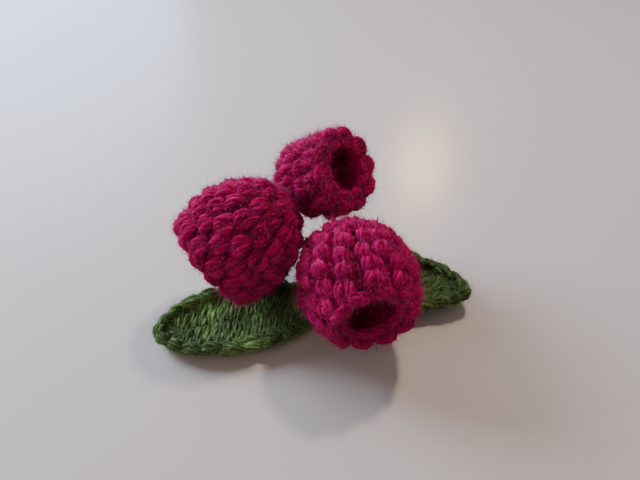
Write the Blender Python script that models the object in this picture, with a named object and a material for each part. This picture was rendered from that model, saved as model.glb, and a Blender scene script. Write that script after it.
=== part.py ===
"""A crocheted raspberry sprig: three hollow berries of single crochet on a pair of crocheted leaves,
sewn together with short stitches of the same yarn. Each berry and each leaf is one continuous yarn,
so each is one solid of the fabric's true outer shape. Metres, +Z up, +X along the pair of leaves,
-Y to the front, with the origin on the surface it rests on, under the middle of the sprig.
"""

import math
from typing import NamedTuple

import bmesh
import bpy
from mathutils import Matrix, Vector

MM = 0.001


class Berry(NamedTuple):
    """A berry: the middle of its mouth, the way the mouth faces (azimuth from -Y towards +X, and
    elevation), its rounds of crochet, how quickly the closed end turns into the side, how far the
    mouth is drawn in, and how much it is squashed to an oval whose long way is at this roll."""

    mouth: tuple
    azimuth: float
    elevation: float
    rounds: int
    taper: float
    draw_in: float
    oval: float
    roll: float


class Leaf(NamedTuple):
    """A leaf: its inner end, the way its tip points (from +X towards +Y), its length and width, and
    how far its near edge, its far edge and its tip curl up."""

    inner_end: tuple
    direction: float
    length: float
    width: float
    near_curl: float
    far_curl: float
    tip_curl: float


# The yarn, and the fabric that the hook makes of it.
YARN = 2.4 * MM
ROUND_HEIGHT = 3.65 * MM
BERRY_WALL = 4.8 * MM
LEAF_THICKNESS = 3.2 * MM

# Every place is given about the middle of the sprig as it lies.
SPRIG_MIDDLE = (-0.87 * MM, -3.93 * MM)

BERRIES = {
    "left_berry": Berry((-23.7 * MM, -6.9 * MM, 14.9 * MM), -67.0, -34.0, 7, 2.1, 11.0, 1.07, -45.0),
    "front_berry": Berry((10.6 * MM, -24.8 * MM, 15.4 * MM), 14.3, -5.0, 8, 2.35, 30.0, 1.03, 0.0),
    "top_berry": Berry((5.3 * MM, 6.9 * MM, 30.0 * MM), 54.0, 32.0, 6, 2.7, 3.0, 0.98, 0.0),
}
LEAVES = {
    "left_leaf": Leaf((2.4 * MM, -6.8 * MM), 196.5, 42.0 * MM, 23.0 * MM, 1.8 * MM, 1.6 * MM, 1.5 * MM),
    "right_leaf": Leaf((-2.2 * MM, 6.1 * MM), -18.5, 40.4 * MM, 19.5 * MM, 2.0 * MM, 3.0 * MM, 3.0 * MM),
}

# Tacks: the sewing stitches that hold the sprig together, by their middle and the way they run.
TACKS = {
    "berry_tack_front": ((-3.2 * MM, -2.8 * MM, 14.5 * MM), (0.29, 0.44, 0.85)),
    "berry_tack_top": ((-7.6 * MM, 6.1 * MM, 17.0 * MM), (-0.77, 0.63, 0.01)),
    "leaf_tack_left": ((-12.0 * MM, -4.2 * MM, 5.2 * MM), (0.07, -0.99, -0.15)),
    "leaf_tack_middle": ((0.8 * MM, -3.0 * MM, 3.2 * MM), (0.75, -0.65, 0.13)),
    "leaf_tack_right": ((8.8 * MM, -4.0 * MM, 5.8 * MM), (0.97, -0.24, 0.0)),
}
TACK_LENGTH = 4.0 * MM

# The midrib is the foundation chain: it starts and stops short of the leaf's two ends.
MIDRIB = (0.14, 0.84)
LEAF_FULLNESS = 1.2

# How far the fabric's underside presses flat where the sprig's weight lies on it.
PRESSED_FLAT = 0.35 * MM

# Inside a berry's closed tip, the wall's inner points nearer the axis than this would fold over it.
TIP_CLEARANCE = BERRY_WALL / 4

PROFILE_STEPS = 14
RIM_STEPS = 6
BERRY_SEGMENTS = 32
LEAF_SEGMENTS = 40
LEAF_RINGS = 5
EDGE_STEPS = 4
TACK_SEGMENTS = 12
TACK_RINGS = 9
WELD = 0.01 * MM


def material(name, colour, roughness):
    finish = bpy.data.materials.new(name)
    finish.use_nodes = True
    surface = finish.node_tree.nodes["Principled BSDF"]
    surface.inputs["Base Color"].default_value = (*colour, 1.0)
    surface.inputs["Roughness"].default_value = roughness
    surface.inputs["Metallic"].default_value = 0.0
    return finish


def finished(shape, name):
    bmesh.ops.dissolve_degenerate(shape, edges=shape.edges, dist=WELD)
    bmesh.ops.recalc_face_normals(shape, faces=shape.faces)
    mesh = bpy.data.meshes.new(name)
    shape.to_mesh(mesh)
    shape.free()
    mesh.shade_smooth()
    return mesh


def new_node(name, mesh, finish, place):
    node = bpy.data.objects.new(name, mesh)
    node.data.materials.append(finish)
    node.matrix_world = Matrix.Translation((-SPRIG_MIDDLE[0], -SPRIG_MIDDLE[1], 0.0)) @ place
    bpy.context.scene.collection.objects.link(node)
    return node


# Berries: cups worked in rounds from the closed tip to the open mouth.
def wall_lean(berry, share):
    """The angle between wall and axis: square across at the tip, drawn in at the mouth."""
    return math.radians(90.0 * (1.0 - share) ** berry.taper - berry.draw_in * share**3)


def berry_profile(berry):
    """The middle of the fabric from tip to mouth, as (radius, height, lean)."""
    fine = 12
    stride = berry.rounds * ROUND_HEIGHT / (PROFILE_STEPS * fine)
    radius = height = 0.0
    points = [(radius, height, wall_lean(berry, 0.0))]
    for step in range(PROFILE_STEPS * fine):
        lean = wall_lean(berry, (step + 0.5) / (PROFILE_STEPS * fine))
        radius += math.sin(lean) * stride
        height += math.cos(lean) * stride
        if (step + 1) % fine == 0:
            share = (step + 1) / (PROFILE_STEPS * fine)
            points.append((radius, height, wall_lean(berry, share)))
    return points


def berry_outline(berry):
    """The wall in section: up the outside, over the rounded rim and down the inside."""
    half = BERRY_WALL / 2
    middle = berry_profile(berry)
    outer = [(r + half * math.cos(lean), h - half * math.sin(lean)) for r, h, lean in middle]
    inner = [(r - half * math.cos(lean), h + half * math.sin(lean)) for r, h, lean in middle]
    outer[0] = (0.0, outer[0][1])
    inner[0] = (0.0, inner[0][1])
    rim_radius, rim_height, rim_lean = middle[-1]
    turns = [math.pi * step / RIM_STEPS - rim_lean for step in range(1, RIM_STEPS)]
    rim = [(rim_radius + half * math.cos(t), rim_height + half * math.sin(t)) for t in turns]
    inner = [point for point in inner if point[0] > TIP_CLEARANCE or point[0] == 0.0]
    return outer + rim + inner[::-1]


def berry_mesh(name, berry):
    shape = bmesh.new()
    corners = [shape.verts.new((radius, 0.0, height)) for radius, height in berry_outline(berry)]
    edges = [shape.edges.new(pair) for pair in zip(corners, corners[1:])]
    bmesh.ops.spin(
        shape,
        geom=corners + edges,
        axis=(0.0, 0.0, 1.0),
        cent=(0.0, 0.0, 0.0),
        angle=2 * math.pi,
        steps=BERRY_SEGMENTS,
    )
    bmesh.ops.remove_doubles(shape, verts=shape.verts, dist=WELD)
    bmesh.ops.scale(shape, verts=shape.verts, vec=(berry.oval, 1.0 / berry.oval, 1.0))
    return finished(shape, name)


def berry_place(berry):
    """Takes a berry, tip at the origin and axis +Z, to its place in the sprig."""
    azimuth, elevation = math.radians(berry.azimuth), math.radians(berry.elevation)
    level = math.cos(elevation)
    axis = Vector((math.sin(azimuth) * level, -math.cos(azimuth) * level, math.sin(elevation)))
    depth = berry_profile(berry)[-1][1]
    turn = axis.to_track_quat("Z", "Y").to_matrix().to_4x4()
    roll = Matrix.Rotation(math.radians(berry.roll), 4, "Z")
    return Matrix.Translation(Vector(berry.mouth) - axis * depth) @ turn @ roll


# Leaves: rounds of crochet worked about a foundation chain, lying cupped on the surface.
def leaf_height(leaf, x, y):
    """The middle of the fabric above the surface. The far side, away from the front, curls more."""
    far = math.copysign(1.0, math.cos(math.radians(leaf.direction)))
    side = 2 * y / leaf.width * far
    tip = max(0.0, 2 * x / leaf.length - 1.0)
    curl = (leaf.near_curl + leaf.far_curl) / 2 * side**2
    curl += (leaf.far_curl - leaf.near_curl) / 2 * side * abs(side)
    return LEAF_THICKNESS / 2 - PRESSED_FLAT + curl + leaf.tip_curl * tip**2


def leaf_point(leaf, turn, share, offset):
    """A point of the leaf. Turn 0 is the inner end and pi the tip, share 0 is on the midrib and 1
    on the edge, and offset is how far it is above the middle of the fabric, square to it."""
    edge_x = (1.0 - math.cos(turn)) / 2 * leaf.length
    edge_y = math.copysign(abs(math.sin(turn)) ** LEAF_FULLNESS, math.sin(turn)) * leaf.width / 2
    rib_x = min(max(edge_x, MIDRIB[0] * leaf.length), MIDRIB[1] * leaf.length)
    x = rib_x + (edge_x - rib_x) * share
    y = edge_y * share
    nudge = 0.05 * MM
    slope_x = (leaf_height(leaf, x + nudge, y) - leaf_height(leaf, x - nudge, y)) / (2 * nudge)
    slope_y = (leaf_height(leaf, x, y + nudge) - leaf_height(leaf, x, y - nudge)) / (2 * nudge)
    normal = Vector((-slope_x, -slope_y, 1.0)).normalized()
    return Vector((x, y, leaf_height(leaf, x, y))) + normal * offset


def leaf_section(leaf):
    """The fabric in section from the midrib to its rounded edge and back, as (share, offset)."""
    half = LEAF_THICKNESS / 2
    edge = half / (leaf.width / 2)
    top = [((1.0 - edge) * ring / LEAF_RINGS, half) for ring in range(LEAF_RINGS)]
    turns = [math.pi / 2 - math.pi * step / EDGE_STEPS for step in range(EDGE_STEPS + 1)]
    rounded = [(1.0 - edge + edge * math.cos(t), half * math.sin(t)) for t in turns]
    bottom = [(share, -offset) for share, offset in reversed(top)]
    return top + rounded + bottom


def leaf_mesh(name, leaf):
    shape = bmesh.new()
    section = leaf_section(leaf)
    loops = []
    for segment in range(LEAF_SEGMENTS):
        turn = 2 * math.pi * segment / LEAF_SEGMENTS
        loops.append([shape.verts.new(leaf_point(leaf, turn, *place)) for place in section])
    for here, after in zip(loops, loops[1:] + loops[:1]):
        for step in range(len(section) - 1):
            shape.faces.new((here[step], here[step + 1], after[step + 1], after[step]))
    bmesh.ops.remove_doubles(shape, verts=shape.verts, dist=WELD)
    return finished(shape, name)


def leaf_place(leaf):
    turn = Matrix.Rotation(math.radians(leaf.direction), 4, "Z")
    return Matrix.Translation((*leaf.inner_end, 0.0)) @ turn


def press_flat(node):
    """Cuts the leaf's underside flat where it lies on the surface."""
    shape = bmesh.new()
    shape.from_mesh(node.data)
    cut = bmesh.ops.bisect_plane(
        shape,
        geom=shape.verts[:] + shape.edges[:] + shape.faces[:],
        plane_co=(0.0, 0.0, 0.0),
        plane_no=(0.0, 0.0, 1.0),
        clear_inner=True,
    )
    rim = [part for part in cut["geom_cut"] if isinstance(part, bmesh.types.BMEdge)]
    bmesh.ops.edgenet_fill(shape, edges=rim)
    bmesh.ops.recalc_face_normals(shape, faces=shape.faces)
    shape.to_mesh(node.data)
    shape.free()


# Tacks: short stitches of the berries' yarn, hidden in the gaps between the pieces they join.
def tack_mesh(name):
    shape = bmesh.new()
    bmesh.ops.create_uvsphere(
        shape, u_segments=TACK_SEGMENTS, v_segments=TACK_RINGS, radius=YARN / 2
    )
    for corner in shape.verts:
        corner.co.z += math.copysign(TACK_LENGTH / 2, corner.co.z)
    return finished(shape, name)


def tack_place(middle, direction):
    turn = Vector(direction).to_track_quat("Z", "Y").to_matrix().to_4x4()
    return Matrix.Translation(middle) @ turn


def main():
    for old in list(bpy.data.objects):
        bpy.data.objects.remove(old)
    berry_yarn = material("raspberry_yarn", (0.35, 0.01, 0.09), 0.9)
    leaf_yarn = material("leaf_yarn", (0.10, 0.19, 0.05), 0.9)
    for name, berry in BERRIES.items():
        new_node(name, berry_mesh(name, berry), berry_yarn, berry_place(berry))
    for name, leaf in LEAVES.items():
        press_flat(new_node(name, leaf_mesh(name, leaf), leaf_yarn, leaf_place(leaf)))
    for name, (middle, direction) in TACKS.items():
        new_node(name, tack_mesh(name), berry_yarn, tack_place(middle, direction))


main()
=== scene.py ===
"""A crocheted raspberry sprig: three hollow berries and two leaves, worked in yarn stitch by stitch."""

import bpy
import math
import random
import numpy as np
from mathutils import Matrix, Vector


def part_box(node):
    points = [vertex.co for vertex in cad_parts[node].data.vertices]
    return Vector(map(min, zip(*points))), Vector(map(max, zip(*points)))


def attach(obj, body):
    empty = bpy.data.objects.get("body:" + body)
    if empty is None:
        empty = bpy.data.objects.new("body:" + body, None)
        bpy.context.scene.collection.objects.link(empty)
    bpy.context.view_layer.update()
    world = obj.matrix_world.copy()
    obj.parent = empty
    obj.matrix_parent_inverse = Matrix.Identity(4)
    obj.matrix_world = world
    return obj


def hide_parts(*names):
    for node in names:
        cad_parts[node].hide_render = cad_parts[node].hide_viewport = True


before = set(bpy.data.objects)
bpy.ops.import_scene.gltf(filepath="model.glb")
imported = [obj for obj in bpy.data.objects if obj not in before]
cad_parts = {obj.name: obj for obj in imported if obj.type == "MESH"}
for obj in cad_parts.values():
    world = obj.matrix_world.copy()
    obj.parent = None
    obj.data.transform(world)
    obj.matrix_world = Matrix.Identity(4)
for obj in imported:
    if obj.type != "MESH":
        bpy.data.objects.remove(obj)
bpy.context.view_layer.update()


# ---------------------------------------------------------------------------------------------
# Raspberries: single crochet worked in rounds from the closed tip to the open mouth, in one length
# of soft four-ply acrylic yarn. The last round's chain is left showing as the braid round the mouth.
MM = 0.001
YARN = 2.5 * MM
BERRY_WALL = 4.8 * MM
ROUND_HEIGHT = 3.65 * MM

# The yarn: four plies twisted together, each ply's size and distance from the middle in yarn widths.
TWIST = 11.0 * MM
PLIES = 4
PLY_RADIUS = 0.27
PLY_OUT = 0.22
PLY_SIDES = 5
STEPS_PER_TWIST = 14

# Each berry, in degrees: the way its mouth faces (azimuth from -Y towards +X, and elevation), the taper
# of the closed end, the draw-in of the mouth, its oval and the oval's roll, and each round's stitches.
BERRIES = {
    "left_berry": (-67.0, -34.0, 2.1, 11.0, 1.07, -45.0, (6, 10, 13, 15, 15, 14, 14)),
    "front_berry": (14.3, -5.0, 2.35, 30.0, 1.03, 0.0, (6, 9, 12, 14, 15, 15, 13, 10)),
    "top_berry": (54.0, 32.0, 2.7, 3.0, 0.98, 0.0, (5, 8, 10, 11, 11, 10)),
}

# One stitch of single crochet, as the yarn runs: across in stitch widths, up in rounds, out in yarn
# radii, and the yarn's thickness there. It goes down behind the fabric, in through the round below,
# up the left leg, over behind, down the right leg, back in and up behind again.
STITCH = (
    (-0.48, 0.95, -0.85, 1.05),
    (-0.50, 0.45, -0.90, 1.22),
    (-0.10, -0.10, -0.80, 0.95),
    (-0.07, -0.16, 0.05, 0.72),
    (-0.14, 0.18, 0.86, 0.94),
    (-0.20, 0.55, 1.18, 1.08),
    (-0.18, 0.87, 0.70, 0.94),
    (0.00, 1.00, -0.35, 0.80),
    (0.17, 0.76, 0.66, 0.94),
    (0.20, 0.42, 1.10, 1.10),
    (0.14, 0.10, 0.84, 0.94),
    (0.07, -0.16, 0.05, 0.72),
    (0.07, -0.10, -0.80, 0.90),
    (0.00, 0.45, -1.00, 1.15),
)
# Its chain loop, gripped by the next round's legs, and the open loop of the last round: two arms
# that spread from a point, pass either side of the next loop's point and close under it.
GRIPPED_LOOP = (
    (0.16, 0.95, -0.90, 0.95),
    (0.40, 1.04, -0.70, 0.90),
    (0.74, 1.02, -0.65, 0.90),
    (1.00, 0.92, -0.75, 0.85),
    (0.80, 1.00, -0.95, 1.00),
    (0.52, 1.00, -0.95, 1.00),
)
OPEN_LOOP = (
    (0.12, 0.98, -0.60, 0.95),
    (0.30, 1.10, 0.10, 0.95),
    (0.66, 1.16, 0.90, 1.08),
    (1.00, 1.11, 1.05, 1.04),
    (1.18, 0.98, -0.20, 0.85),
    (1.00, 1.11, -1.50, 1.06),
    (0.66, 1.16, -1.45, 1.12),
    (0.34, 1.08, -0.90, 1.02),
)
# Worked in a spiral, each round starts this share of a stitch on from the one below.
SLANT = 0.35

# The tail of the yarn is woven in round the inside of the mouth: rounds below the last loops, yarn
# radii in from the middle of the fabric, turns and thickness.
TAIL_DOWN = 0.10
TAIL_IN = -0.80
TAIL_TURNS = 1.15
TAIL_THICKNESS = 1.05

# The hand's unevenness across, up and out, how much of it carries on from one point of the yarn to the
# next, how much is left in the last round, which has to look neat, and how plump a stitch may be.
UNEVEN = (0.06, 0.06, 0.15)
SWAY_KEPT = 0.75
LAST_ROUND_SWAY = 0.35
PLUMP = (0.90, 1.12)


def deselect_all():
    if bpy.context.mode != "OBJECT":
        bpy.ops.object.mode_set(mode="OBJECT")
    bpy.ops.object.select_all(action="DESELECT")


def crochet_route(fabric, rounds, stitches, seed):
    """The yarn's run through every stitch of every round, as (place, thickness)."""
    stitch, gripped, open_end = stitches
    hand = random.Random(seed)
    sway = (0.0, 0.0, 0.0)
    route = []
    for row, count in enumerate(rounds):
        last = row + 1 == len(rounds)
        run = stitch + (open_end if last else gripped)
        loose = LAST_ROUND_SWAY if last else 1.0
        for turn in range(count):
            plump = hand.uniform(*PLUMP)
            for across, up, out, thick in run:
                strays = [hand.gauss(0.0, uneven * loose) for uneven in UNEVEN]
                sway = [SWAY_KEPT * kept + stray for kept, stray in zip(sway, strays)]
                around = (turn + across + sway[0] + SLANT * row) / count
                place = fabric(around, row + up + sway[1], out + sway[2])
                route.append((place, thick * plump))
    return route


def woven_tail(fabric, rounds):
    """The end of the yarn, run round inside the last round, as (place, thickness)."""
    start = SLANT * (len(rounds) - 1) / rounds[-1]
    up = len(rounds) - TAIL_DOWN
    route = []
    for step in range(round(TAIL_TURNS * rounds[-1])):
        around = start + (step + 0.5) / rounds[-1]
        route.append((fabric(around, up, TAIL_IN), TAIL_THICKNESS))
    return route


def lay_route(name, route):
    """A smooth curve along the yarn's run, its radius the yarn's thickness."""
    curve = bpy.data.curves.new(name, "CURVE")
    curve.dimensions = "3D"
    curve.twist_mode = "MINIMUM"
    curve.use_radius = True
    run = curve.splines.new("NURBS")
    run.points.add(len(route) - 1)
    run.points.foreach_set("co", [c for place, _ in route for c in (*place, 1.0)])
    run.points.foreach_set("radius", [thick for _, thick in route])
    run.order_u = 4
    run.use_endpoint_u = True
    run.resolution_u = 3
    line = bpy.data.objects.new(name, curve)
    bpy.context.scene.collection.objects.link(line)
    return line, run.calc_length()


def mark_fibres(mesh, twist):
    """Keeps each point's place in the untwisted yarn, for the fibres to run along."""
    points = np.empty(len(mesh.vertices) * 3, np.float32)
    mesh.vertices.foreach_get("co", points)
    points = points.reshape(-1, 3)
    turn = -2 * math.pi * points[:, 2] / twist
    straight = np.column_stack(
        (
            points[:, 0] * np.cos(turn) - points[:, 1] * np.sin(turn),
            points[:, 0] * np.sin(turn) + points[:, 1] * np.cos(turn),
            points[:, 2],
        )
    )
    mesh.attributes.new("fibre", "FLOAT_VECTOR", "POINT").data.foreach_set("vector", straight.ravel())


def plied_yarn(name, route, width=YARN):
    """Twists the plies into a straight yarn, then lays the yarn along its route."""
    line, length = lay_route(name + "_route", route)
    turns = max(1, round(length / TWIST))
    twist = length / turns
    deselect_all()
    bpy.ops.mesh.primitive_circle_add(
        vertices=PLY_SIDES,
        radius=width * PLY_RADIUS,
        location=(width * PLY_OUT, 0.0, 0.0),
    )
    yarn = bpy.context.object
    yarn.name = name
    bpy.ops.object.transform_apply(location=True, rotation=True, scale=True)
    bpy.ops.object.mode_set(mode="EDIT")
    bpy.ops.mesh.select_all(action="SELECT")
    bpy.ops.mesh.spin(
        steps=PLIES - 1,
        dupli=True,
        angle=2 * math.pi * (PLIES - 1) / PLIES,
        center=(0.0, 0.0, 0.0),
        axis=(0.0, 0.0, 1.0),
    )
    bpy.ops.object.mode_set(mode="OBJECT")
    screw = yarn.modifiers.new("twist", "SCREW")
    screw.axis = "Z"
    screw.angle = 2 * math.pi
    screw.screw_offset = twist
    screw.iterations = turns
    screw.steps = STEPS_PER_TWIST
    screw.render_steps = STEPS_PER_TWIST
    screw.use_smooth_shade = True
    bpy.ops.object.modifier_apply(modifier="twist")
    bpy.ops.object.mode_set(mode="EDIT")
    bpy.ops.mesh.select_all(action="SELECT")
    bpy.ops.mesh.fill_holes(sides=PLY_SIDES)
    bpy.ops.mesh.select_all(action="SELECT")
    bpy.ops.mesh.normals_make_consistent(inside=False)
    bpy.ops.object.mode_set(mode="OBJECT")
    mark_fibres(yarn.data, twist)
    bend = yarn.modifiers.new("route", "CURVE")
    bend.object = line
    bend.deform_axis = "POS_Z"
    bpy.ops.object.modifier_apply(modifier="route")
    bpy.data.objects.remove(line)
    return yarn


# The berry's outline is walked in short steps from the tip. Near the axis the first round's yarn would
# run through itself, so it stays this far out.
STEPS_PER_ROUND = 40
NEAREST_AXIS = 0.3 * YARN


def berry_fabric(node, azimuth, elevation, taper, draw_in, oval, roll, rounds):
    """Where a point of a berry's fabric is: around in turns, up in rounds, out in yarn radii."""
    azimuth, elevation = math.radians(azimuth), math.radians(elevation)
    level = math.cos(elevation)
    axis = Vector((math.sin(azimuth) * level, -math.cos(azimuth) * level, math.sin(elevation)))
    corners = [corner.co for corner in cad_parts[node].data.vertices]
    tip = min(corners, key=axis.dot) + axis * BERRY_WALL / 2
    turn = axis.to_track_quat("Z", "Y").to_matrix().to_4x4()
    place = Matrix.Translation(tip) @ turn @ Matrix.Rotation(math.radians(roll), 4, "Z")
    steps = len(rounds) * STEPS_PER_ROUND
    stride = ROUND_HEIGHT / STEPS_PER_ROUND
    leans = []
    spots = [(0.0, 0.0)]
    for step in range(steps + 1):
        share = step / steps
        lean = math.radians(90.0 * (1.0 - share) ** taper - draw_in * share**3)
        radius, height = spots[-1]
        leans.append(lean)
        spots.append((radius + math.sin(lean) * stride, height + math.cos(lean) * stride))

    def fabric(around, up, out):
        step = int(min(max(up * STEPS_PER_ROUND, 0.0), steps))
        radius, height = spots[step]
        lean = leans[step]
        beyond = (up * STEPS_PER_ROUND - step) * ROUND_HEIGHT / STEPS_PER_ROUND
        radius += math.sin(lean) * beyond + math.cos(lean) * out * YARN / 2
        height += math.cos(lean) * beyond - math.sin(lean) * out * YARN / 2
        radius = max(radius, NEAREST_AXIS)
        angle = 2 * math.pi * around
        x = radius * math.cos(angle) * oval
        y = radius * math.sin(angle) / oval
        return place @ Vector((x, y, height))

    return fabric


def linear(colour):
    """sRGB hex to linear."""
    parts = [int(colour[i : i + 2], 16) / 255 for i in (1, 3, 5)]
    return [c / 12.92 if c <= 0.04045 else ((c + 0.055) / 1.055) ** 2.4 for c in parts] + [1.0]


def add_node(tree, kind, settings=None, links=None):
    """Adds a node: settings are its properties and socket values, links its inputs' sources."""
    node = tree.nodes.new(kind)
    for key, value in (settings or {}).items():
        if isinstance(key, int) or not hasattr(node, key):
            node.inputs[key].default_value = value
        else:
            setattr(node, key, value)
    for key, source in (links or {}).items():
        tree.links.new(source, node.inputs[key])
    return node


# Acrylic yarn, spun from fine crimped fibre: matt, a little uneven in its dye, and with a bloom that
# catches the light at grazing angles. Its colour holds painted shade and highlight: darker in the
# hollows of the fibre streaks, where shade falls, and lighter on their ridges, from the same noise as
# the streaks' relief. A fibre is about 0.03 mm across, too fine to show, so the streaks are bunches of
# fibre and the stray ends are drawn thicker. Given are a streak's width, length and depth, a dye patch's
# size, and the share of the tone that is the streaks' painted shade and highlight.
STREAK = 0.32 * MM
STREAK_LENGTH = 2.5 * MM
STREAK_DEPTH = 0.22 * MM
DYE_PATCH = 6.0 * MM
STREAK_SHARE = 0.62


def acrylic_yarn(name, dark_dye_and_shade, middle, light_dye_and_highlight, sheen_tint):
    yarn = bpy.data.materials.new(name)
    yarn.use_nodes = True
    tree = yarn.node_tree
    surface = tree.nodes["Principled BSDF"]
    spun = add_node(tree, "ShaderNodeAttribute", {"attribute_name": "fibre"})
    drawn = add_node(
        tree,
        "ShaderNodeMapping",
        {"Scale": (1 / STREAK, 1 / STREAK, 1 / STREAK_LENGTH)},
        {"Vector": spun.outputs["Vector"]},
    )
    streaks = add_node(
        tree,
        "ShaderNodeTexNoise",
        {"Scale": 1.0, "Detail": 2.0},
        {"Vector": drawn.outputs["Vector"]},
    )
    place = add_node(tree, "ShaderNodeTexCoord")
    dye = add_node(
        tree,
        "ShaderNodeTexNoise",
        {"Scale": 1 / DYE_PATCH, "Detail": 3.0},
        {"Vector": place.outputs["Object"]},
    )
    dye_share = add_node(
        tree,
        "ShaderNodeMath",
        {"operation": "MULTIPLY", 1: 1.0 - STREAK_SHARE},
        {0: dye.outputs["Fac"]},
    )
    shade_and_dye_tone = add_node(
        tree,
        "ShaderNodeMath",
        {"operation": "MULTIPLY_ADD", 1: STREAK_SHARE},
        {0: streaks.outputs["Fac"], 2: dye_share.outputs[0]},
    )
    # The ramp's dark end is painted shade and its light end a painted highlight, each mixed with the
    # dye's own patches.
    shade_and_dye_ramp = add_node(tree, "ShaderNodeValToRGB", {}, {"Fac": shade_and_dye_tone.outputs[0]})
    shade_and_dye_ramp.color_ramp.elements[0].position = 0.3
    shade_and_dye_ramp.color_ramp.elements[0].color = linear(dark_dye_and_shade)
    shade_and_dye_ramp.color_ramp.elements[1].position = 0.72
    shade_and_dye_ramp.color_ramp.elements[1].color = linear(light_dye_and_highlight)
    shade_and_dye_ramp.color_ramp.elements.new(0.5).color = linear(middle)
    relief = add_node(
        tree,
        "ShaderNodeBump",
        {"Strength": 0.8, "Distance": STREAK_DEPTH},
        {"Height": streaks.outputs["Fac"]},
    )
    tree.links.new(shade_and_dye_ramp.outputs["Color"], surface.inputs["Base Color"])
    tree.links.new(relief.outputs["Normal"], surface.inputs["Normal"])
    surface.inputs["Roughness"].default_value = 0.85
    surface.inputs["Specular IOR Level"].default_value = 0.15
    surface.inputs["Sheen Weight"].default_value = 0.2
    surface.inputs["Sheen Roughness"].default_value = 0.4
    surface.inputs["Sheen Tint"].default_value = linear(sheen_tint)
    return yarn


# Dyed raspberry crimson: nearly black, painted shade in the streaks' hollows, to bright pink, a painted
# highlight on their ridges, with a pink tint to the bloom.
raspberry_yarn = acrylic_yarn("raspberry_acrylic_yarn", "#560426", "#A0084A", "#D21070", "#E82C88")

# Stray fibre: crimped ends that stand out of the yarn all over, pointed and so fine that light passes
# round them, which makes them look paler than the yarn. The spread is how far they lean from square to
# it, and the curl and the shortest are shares of their length and of the longest. Most are short.
STRAY_FIBRE = 0.065 * MM
FIBRE_SPREAD = 0.8
FIBRE_CURL = 0.45
SHORTEST_FIBRE = 0.2
FIBRE_TAPER = 0.95


def acrylic_fibre(name, colour):
    fibre = bpy.data.materials.new(name)
    fibre.use_nodes = True
    surface = fibre.node_tree.nodes["Principled BSDF"]
    surface.inputs["Base Color"].default_value = linear(colour)
    surface.inputs["Roughness"].default_value = 0.7
    surface.inputs["Specular IOR Level"].default_value = 0.2
    surface.inputs["Sheen Weight"].default_value = 0.2
    return fibre


raspberry_fibre = acrylic_fibre("raspberry_acrylic_fibre", "#B22A68")


def stray_fibres(name, yarn, node, count, longest, seed):
    """Fine ends of fibre that start in the yarn and curl out into open air."""
    hand = random.Random(seed)
    low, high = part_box(node)
    middle = (low + high) / 2
    curve = bpy.data.curves.new(name, "CURVE")
    curve.dimensions = "3D"
    curve.bevel_depth = STRAY_FIBRE / 2
    curve.bevel_resolution = 0
    corners = yarn.data.vertices
    grown = 0
    while grown < count:
        root = corners[hand.randrange(len(corners))]
        away = Vector([hand.gauss(0.0, 1.0) for _ in range(3)]).normalized()
        grow = (root.normal + away * FIBRE_SPREAD).normalized()
        curl = Vector([hand.gauss(0.0, 1.0) for _ in range(3)]).normalized()
        if grow.dot(root.co - middle) < 0.0 or yarn.ray_cast(root.co + grow * STRAY_FIBRE, grow)[0]:
            continue
        grown += 1
        length = longest * (SHORTEST_FIBRE + (1.0 - SHORTEST_FIBRE) * hand.random() ** 3)
        end = curve.splines.new("POLY")
        end.points.add(2)
        for step, point in enumerate(end.points):
            along = step / 2
            place = root.co + (grow * along + curl * FIBRE_CURL * along**2) * length
            place.z = max(place.z, STRAY_FIBRE)
            point.co = (*place, 1.0)
            point.radius = 1.0 - FIBRE_TAPER * along
    fuzz = bpy.data.objects.new(name, curve)
    bpy.context.scene.collection.objects.link(fuzz)
    deselect_all()
    fuzz.select_set(True)
    bpy.context.view_layer.objects.active = fuzz
    bpy.ops.object.convert(target="MESH")
    return bpy.context.object


def finish_piece(piece, material):
    piece.data.materials.clear()
    piece.data.materials.append(material)
    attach(piece, "root")


# The stray fibres of a berry: how many, the longest, and the seed of the first berry's.
BERRY_FIBRES = 12000
BERRY_FIBRE_LENGTH = 2.6 * MM
BERRY_FIBRE_SEED = 50

for seed, (node, shape) in enumerate(BERRIES.items()):
    rounds = shape[-1]
    fabric = berry_fabric(node, *shape)
    route = crochet_route(fabric, rounds, (STITCH, GRIPPED_LOOP, OPEN_LOOP), seed)
    berry = plied_yarn(node + "_yarn", route + woven_tail(fabric, rounds))
    finish_piece(berry, raspberry_yarn)
    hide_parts(node)
    fuzz = stray_fibres(
        node + "_fuzz", berry, node, BERRY_FIBRES, BERRY_FIBRE_LENGTH, BERRY_FIBRE_SEED + seed
    )
    finish_piece(fuzz, raspberry_fibre)


# ---------------------------------------------------------------------------------------------
# Leaves: crocheted round a foundation chain, the midrib, in a thinner green yarn, with tall posts
# and a chain left showing as the braided edge. They lie cupped, pressed flat where they bear.
LEAF_YARN = 2.2 * MM
LEAF_FULLNESS = 1.2

# The middle of the leaf's fabric above the table in millimetres, how far the stitches are pressed
# together through it, the lowest that the yarn's middle may lie in yarn widths, and the midrib's ends
# in shares of the leaf's length.
LEAF_MIDDLE = 1.25
LEAF_REACH = 0.62
LEAF_BEARING = 0.61
MIDRIB = (0.14, 0.84)

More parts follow.
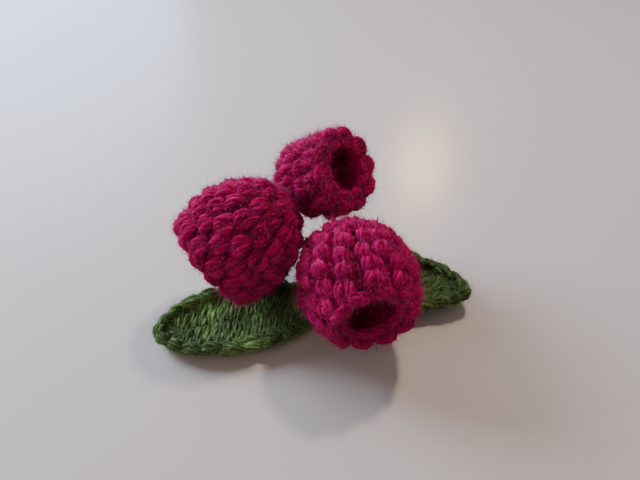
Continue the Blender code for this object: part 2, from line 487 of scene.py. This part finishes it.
# One tall post, from the midrib to the edge and back, and the open loop that lies along the edge.
POST = (
    (-0.50, 0.88, -0.50, 1.00),
    (-0.50, 0.50, -0.70, 1.10),
    (-0.40, -0.02, -0.70, 1.05),
    (-0.22, -0.05, -0.10, 1.00),
    (-0.24, 0.32, 0.00, 1.05),
    (-0.25, 0.60, 0.05, 1.08),
    (-0.25, 0.78, -0.10, 1.00),
    (0.00, 0.88, -0.45, 0.90),
    (0.25, 0.78, -0.10, 1.00),
    (0.25, 0.60, 0.05, 1.08),
    (0.24, 0.32, 0.00, 1.05),
    (0.22, -0.05, -0.10, 1.00),
    (0.10, -0.02, -0.70, 1.05),
    (0.00, 0.50, -0.70, 1.10),
)
EDGE_LOOP = (
    (0.12, 0.86, -0.10, 1.00),
    (0.26, 0.91, 1.20, 1.00),
    (0.66, 0.98, 1.30, 1.08),
    (1.06, 1.01, 0.80, 1.06),
    (1.30, 0.93, -0.10, 0.90),
    (1.06, 0.86, 1.50, 1.00),
    (0.66, 0.83, 2.10, 1.06),
    (0.28, 0.86, 1.90, 1.00),
)

# Each leaf, in millimetres and degrees: its inner end, the way its tip points, its length and width,
# how far its near edge, its far edge and its tip curl up, and the stitches of each round.
LEAVES = {
    "left_leaf": ((3.27, -2.87), 196.5, 42.0, 23.0, 1.8, 1.6, 1.5, (23,)),
    "right_leaf": ((-1.33, 10.03), -18.5, 40.4, 19.5, 2.0, 3.0, 3.0, (23,)),
}

# The leaf's edge is measured in this many steps, so that its stitches come out evenly spaced.
EDGE_STEPS = 360


def leaf_fabric(inner_end, direction, length, width, near_curl, far_curl, tip_curl, rounds):
    """Where a point of a leaf's fabric is: around in turns, out in rounds, up in yarn radii."""
    length, width = length * MM, width * MM
    place = Matrix.Translation((inner_end[0] * MM, inner_end[1] * MM, 0.0))
    place = place @ Matrix.Rotation(math.radians(direction), 4, "Z")
    far = math.copysign(1.0, math.cos(math.radians(direction)))

    def edge(turn):
        y = math.copysign(abs(math.sin(turn)) ** LEAF_FULLNESS, math.sin(turn)) * width / 2
        return Vector(((1.0 - math.cos(turn)) / 2 * length, y))

    turns = [2 * math.pi * step / EDGE_STEPS for step in range(EDGE_STEPS + 1)]
    walked = [0.0]
    for here, after in zip(turns, turns[1:]):
        walked.append(walked[-1] + (edge(after) - edge(here)).length)

    def fabric(around, up, out):
        reach = (around % 1.0) * walked[-1]
        turn = float(np.interp(reach, walked, turns))
        rim = edge(turn)
        rib = Vector((min(max(rim.x, MIDRIB[0] * length), MIDRIB[1] * length), 0.0))
        span = (rim - rib).length
        # the outermost yarn stays its own radius inside the edge
        share = up / len(rounds) * (1.0 - LEAF_YARN / 2 / max(span, LEAF_YARN))
        x, y = rib.lerp(rim, share)
        side = 2 * y / width * far
        tip = max(0.0, 2 * x / length - 1.0)
        curl = (near_curl + far_curl) / 2 * side**2 + (far_curl - near_curl) / 2 * side * abs(side)
        height = (LEAF_MIDDLE + curl + tip_curl * tip**2) * MM + out * LEAF_YARN / 2 * LEAF_REACH
        return place @ Vector((x, y, max(height, LEAF_YARN * LEAF_BEARING)))

    return fabric


# The same soft acrylic yarn, dyed leaf green: a brownish near-black, painted shade in the streaks'
# hollows, to yellow-green, a painted highlight on their ridges.
leaf_fibre = acrylic_fibre("leaf_acrylic_fibre", "#789450")
leaf_yarn = acrylic_yarn("leaf_acrylic_yarn", "#212312", "#465430", "#98C064", "#A8C878")

# The seeds of the first leaf's stitches and stray fibres, the number of those fibres, and the longest.
LEAF_SEED = 10
LEAF_FIBRES = 7000
LEAF_FIBRE_LENGTH = 2.0 * MM
LEAF_FIBRE_SEED = 80

for seed, (node, shape) in enumerate(LEAVES.items()):
    rounds = shape[-1]
    fabric = leaf_fabric(*shape)
    route = crochet_route(fabric, rounds, (POST, (), EDGE_LOOP), LEAF_SEED + seed)
    leaf = plied_yarn(node + "_yarn", route, LEAF_YARN)
    finish_piece(leaf, leaf_yarn)
    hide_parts(node)
    fuzz = stray_fibres(
        node + "_fuzz", leaf, node, LEAF_FIBRES, LEAF_FIBRE_LENGTH, LEAF_FIBRE_SEED + seed
    )
    finish_piece(fuzz, leaf_fibre)


# ---------------------------------------------------------------------------------------------
# Tacks: short stitches that sew the pieces together, hidden between them. Each is one straight length
# of the berries' yarn, drawn tight and so a little thinner.
TACKS = ("berry_tack_front", "berry_tack_top", "leaf_tack_left", "leaf_tack_middle", "leaf_tack_right")
TACK_RUN = (0.08, 0.3, 0.5, 0.7, 0.92)
TACK_THICKNESS = 0.9

for node in TACKS:
    # the corner furthest from any other is one end of the tack, and the furthest from that is its other
    corners = [corner.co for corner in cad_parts[node].data.vertices]
    start = min(corners, key=lambda c: c.length)
    start = max(corners, key=lambda c: (c - start).length)
    end = max(corners, key=lambda c: (c - start).length)
    route = [(start.lerp(end, share), TACK_THICKNESS) for share in TACK_RUN]
    tack = plied_yarn(node + "_yarn", route)
    finish_piece(tack, raspberry_yarn)
    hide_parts(node)


# ---------------------------------------------------------------------------------------------
# The table: a large flat top of pale laminate, a resin-faced sheet that is pressed smooth enough to
# hold a soft reflection. The sprig rests on it.
TABLE_SIZE = 3.0

deselect_all()
bpy.ops.mesh.primitive_plane_add(size=TABLE_SIZE, location=(0.0, 0.0, 0.0))
table = bpy.context.object
table.name = "table"
laminate = bpy.data.materials.new("pale_laminate")
laminate.use_nodes = True
top = laminate.node_tree.nodes["Principled BSDF"]
top.inputs["Base Color"].default_value = linear("#C6B8AE")
top.inputs["Roughness"].default_value = 0.24
top.inputs["Specular IOR Level"].default_value = 0.4
table.data.materials.append(laminate)


# ---------------------------------------------------------------------------------------------
# Light: broad cool windows behind and to the left, a small warm lamp above and behind, and the room's
# soft grey light, in metres and watts. The near window and the lamp stay out of the reflections,
# where they would show as bright discs on the table.
def soft_light(name, place, aim, size, power, colour):
    lamp = bpy.data.lights.new(name, "AREA")
    lamp.shape = "DISK"
    lamp.size = size
    lamp.energy = power
    lamp.color = linear(colour)[:3]
    holder = bpy.data.objects.new(name, lamp)
    holder.location = place
    holder.rotation_mode = "QUATERNION"
    holder.rotation_quaternion = (Vector(aim) - Vector(place)).to_track_quat("-Z", "Y")
    bpy.context.scene.collection.objects.link(holder)
    return holder


SPRIG = (0.0, 0.0, 0.01)
GLARE = (0.03, 0.054, 0.0)

window_left = soft_light("window_left", (-0.33, 0.18, 0.21), SPRIG, 0.22, 3.8, "#CFE2FF")
window_left.visible_glossy = False
soft_light("window_far", (-0.48, 0.80, 0.28), SPRIG, 0.60, 7.0, "#A8D0FF")
lamp_above = soft_light("lamp_above", (0.15, 0.23, 0.42), SPRIG, 0.045, 1.5, "#FFF0E4")
lamp_above.visible_glossy = False
# This window gives only the warm glare on the table.
window_behind = soft_light("window_behind", (0.087, 0.346, 0.197), GLARE, 0.04, 0.2, "#FFC890")
window_behind.visible_diffuse = False
soft_light("room_front", (-0.24, -0.40, 0.36), SPRIG, 0.40, 0.6, "#FFEFE6")

room = bpy.data.worlds.new("room")
bpy.context.scene.world = room
room.use_nodes = True
room.node_tree.nodes["Background"].inputs["Color"].default_value = linear("#CCC6CC")
room.node_tree.nodes["Background"].inputs["Strength"].default_value = 0.36


# ---------------------------------------------------------------------------------------------
# Camera: a phone's, held close in front of the sprig and above it. It looks down at forty degrees at
# a point inside the sprig, a little behind its middle.
CAMERA_DOWN = math.radians(40.0)
CAMERA_AWAY = 150 * MM
LOOK_AT = Vector((0.87 * MM, 3.93 * MM, 15.0 * MM))

looking = Vector((0.0, math.cos(CAMERA_DOWN), -math.sin(CAMERA_DOWN)))
camera = bpy.data.objects.new("camera", bpy.data.cameras.new("camera"))
camera.data.lens = 36.1
camera.data.sensor_width = 36.0
camera.data.clip_start = 5 * MM
camera.location = LOOK_AT - looking * CAMERA_AWAY
camera.rotation_mode = "QUATERNION"
camera.rotation_quaternion = looking.to_track_quat("-Z", "Y")
bpy.context.scene.collection.objects.link(camera)
bpy.context.scene.camera = camera
